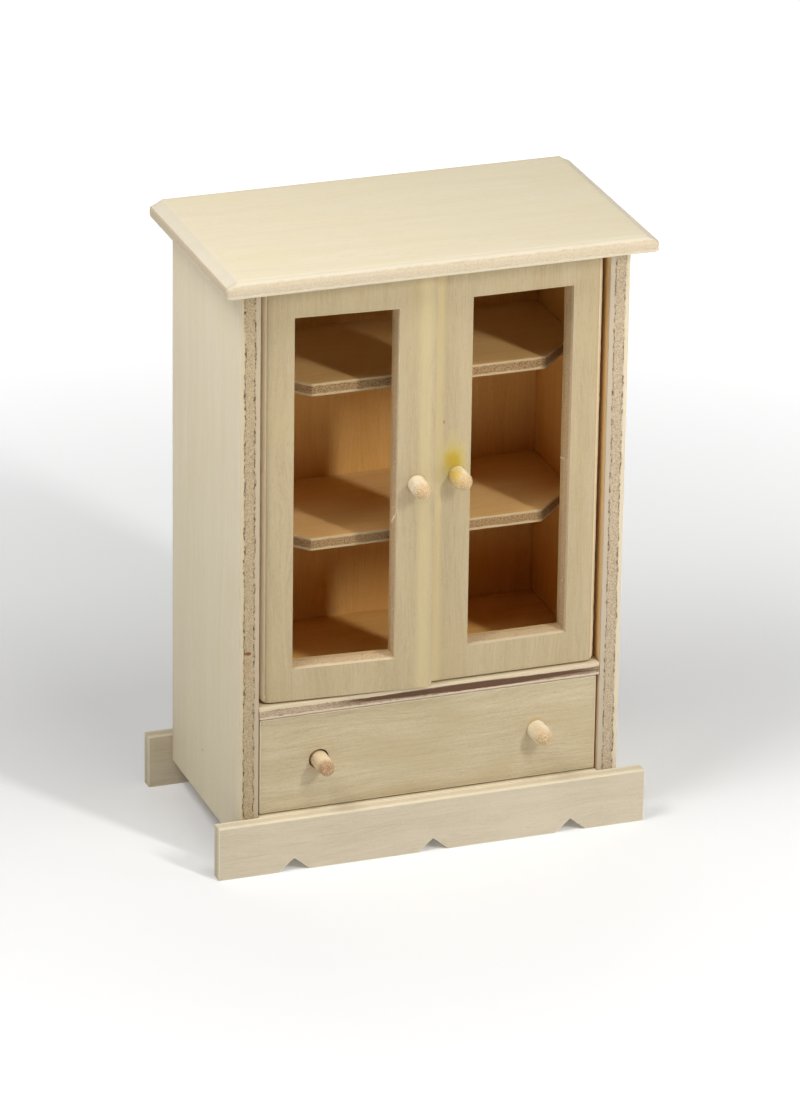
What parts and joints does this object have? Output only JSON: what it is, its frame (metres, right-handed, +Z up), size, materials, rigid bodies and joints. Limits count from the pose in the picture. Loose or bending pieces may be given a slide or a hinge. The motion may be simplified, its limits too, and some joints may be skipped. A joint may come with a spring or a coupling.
{
  "type": "miniature wardrobe",
  "caption": "Dolls' house display cabinet in raw plywood, with open-windowed doors on hidden pivot pins, shelves behind them and a drawer below.",
  "frame": {"origin": "on the floor, at the centre of the bounding box with the doors and drawer at rest", "axes": "+Z up, the front with the doors faces -Y, +X to the right seen from the front"},
  "size_m": [0.107, 0.0616, 0.15],
  "materials": {
    "pale_ply": "raw sanded",
    "inner_ply": "raw sanded",
    "dowel": "raw turned",
    "pin_wire": "plain wire"
  },
  "bodies": {
    "cabinet": {"top_board": "pale_ply", "left_side": "pale_ply", "right_side": "pale_ply", "back_panel": "inner_ply", "upper_shelf": "inner_ply", "middle_shelf": "inner_ply", "cupboard_floor": "inner_ply", "base_board": "inner_ply", "front_skirting": "pale_ply", "rear_skirting": "pale_ply", "left_door_pins": "pin_wire", "right_door_pins": "pin_wire"},
    "left_door_leaf": {"left_door": "pale_ply", "left_door_knob": "dowel"},
    "right_door_leaf": {"right_door": "pale_ply", "right_door_knob": "dowel"},
    "drawer": {"drawer_front": "pale_ply", "drawer_left_side": "inner_ply", "drawer_right_side": "inner_ply", "drawer_back": "inner_ply", "drawer_bottom": "inner_ply", "drawer_left_knob": "dowel", "drawer_right_knob": "dowel"}
  },
  "joints": [
    {"name": "left_door_hinge", "type": "hinge", "parent": "cabinet", "child": "left_door_leaf", "pos_m": [-0.039, -0.01918, 0.09375], "axis": [0, 0, -1], "range_deg": [-4, 91]},
    {"name": "right_door_hinge", "type": "hinge", "parent": "cabinet", "child": "right_door_leaf", "pos_m": [0.039, -0.01918, 0.09375], "axis": [0, 0, 1], "range_deg": [0, 95]},
    {"name": "drawer_slide", "type": "slide", "parent": "cabinet", "child": "drawer", "axis": [0, -1, 0], "range_m": [0, 0.03]}
  ]
}
